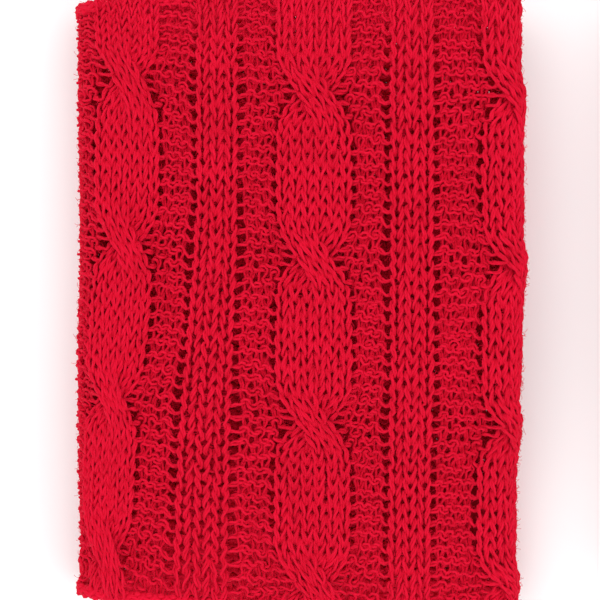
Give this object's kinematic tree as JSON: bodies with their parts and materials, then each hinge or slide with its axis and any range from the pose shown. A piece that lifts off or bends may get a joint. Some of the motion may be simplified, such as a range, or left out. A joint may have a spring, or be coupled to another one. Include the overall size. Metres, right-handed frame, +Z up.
{
  "type": "pair of knitted gloves",
  "caption": "Pair of short fingerless gloves in red cable knit, lying flat and empty, one back up and one palm up, with soft wrists and folded-in thumb sleeves.",
  "frame": {"origin": "on the table, in the middle under the pair", "axes": "+X from the left glove to the right glove, +Y from cuffs to finger openings, +Z up"},
  "size_m": [0.238, 0.146, 0.0303],
  "materials": {
    "cable_knit": "fuzzy cable-knit acrylic yarn",
    "plain_knit": "fuzzy stocking stitch in the same yarn",
    "seam_yarn": "sewn side seams in the same yarn",
    "edge_yarn": "cast-on and cast-off edges in the same yarn",
    "label_ribbon": "plain woven ribbon, blank"
  },
  "bodies": {
    "left_cuff": {"left_back_cuff": "cable_knit", "left_palm_cuff": "plain_knit", "left_outer_seam_cuff": "seam_yarn", "left_inner_seam_cuff": "seam_yarn", "left_cuff_edge": "edge_yarn", "left_care_label": "label_ribbon"},
    "left_hand": {"left_back_hand": "cable_knit", "left_palm_hand": "plain_knit", "left_outer_seam_hand": "seam_yarn", "left_inner_seam_hand": "seam_yarn", "left_finger_edge": "edge_yarn", "left_thumb_gusset": "plain_knit"},
    "left_thumb": {"left_thumb_sleeve": "plain_knit", "left_thumb_edge": "edge_yarn", "left_thumb_seam": "seam_yarn"},
    "right_cuff": {"right_back_cuff": "cable_knit", "right_palm_cuff": "plain_knit", "right_outer_seam_cuff": "seam_yarn", "right_inner_seam_cuff": "seam_yarn", "right_cuff_edge": "edge_yarn", "right_care_label": "label_ribbon"},
    "right_hand": {"right_back_hand": "cable_knit", "right_palm_hand": "plain_knit", "right_outer_seam_hand": "seam_yarn", "right_inner_seam_hand": "seam_yarn", "right_finger_edge": "edge_yarn", "right_thumb_gusset": "plain_knit"},
    "right_thumb": {"right_thumb_sleeve": "plain_knit", "right_thumb_edge": "edge_yarn", "right_thumb_seam": "seam_yarn"}
  },
  "joints": [
    {"name": "left_wrist", "type": "hinge", "parent": "left_cuff", "child": "left_hand", "pos_m": [-0.067, -0.023, 0.01324], "axis": [1, 0, 0], "range_deg": [-30, 30]},
    {"name": "left_thumb_swing", "type": "hinge", "parent": "left_hand", "child": "left_thumb", "pos_m": [-0.018, 0.01, 0.0044], "axis": [0, 0, -1], "range_deg": [0, 45]},
    {"name": "right_glove_slide", "type": "slide", "parent": "left_cuff", "child": "right_cuff", "axis": [1, 0, 0], "range_m": [0, 0.1]},
    {"name": "right_wrist", "type": "hinge", "parent": "right_cuff", "child": "right_hand", "pos_m": [0.067, -0.023, 0.009], "axis": [1, 0, 0], "range_deg": [-30, 30]},
    {"name": "right_thumb_swing", "type": "hinge", "parent": "right_hand", "child": "right_thumb", "pos_m": [0.116, 0.01, 0.0228], "axis": [0, 0, -1], "range_deg": [0, 45]}
  ]
}
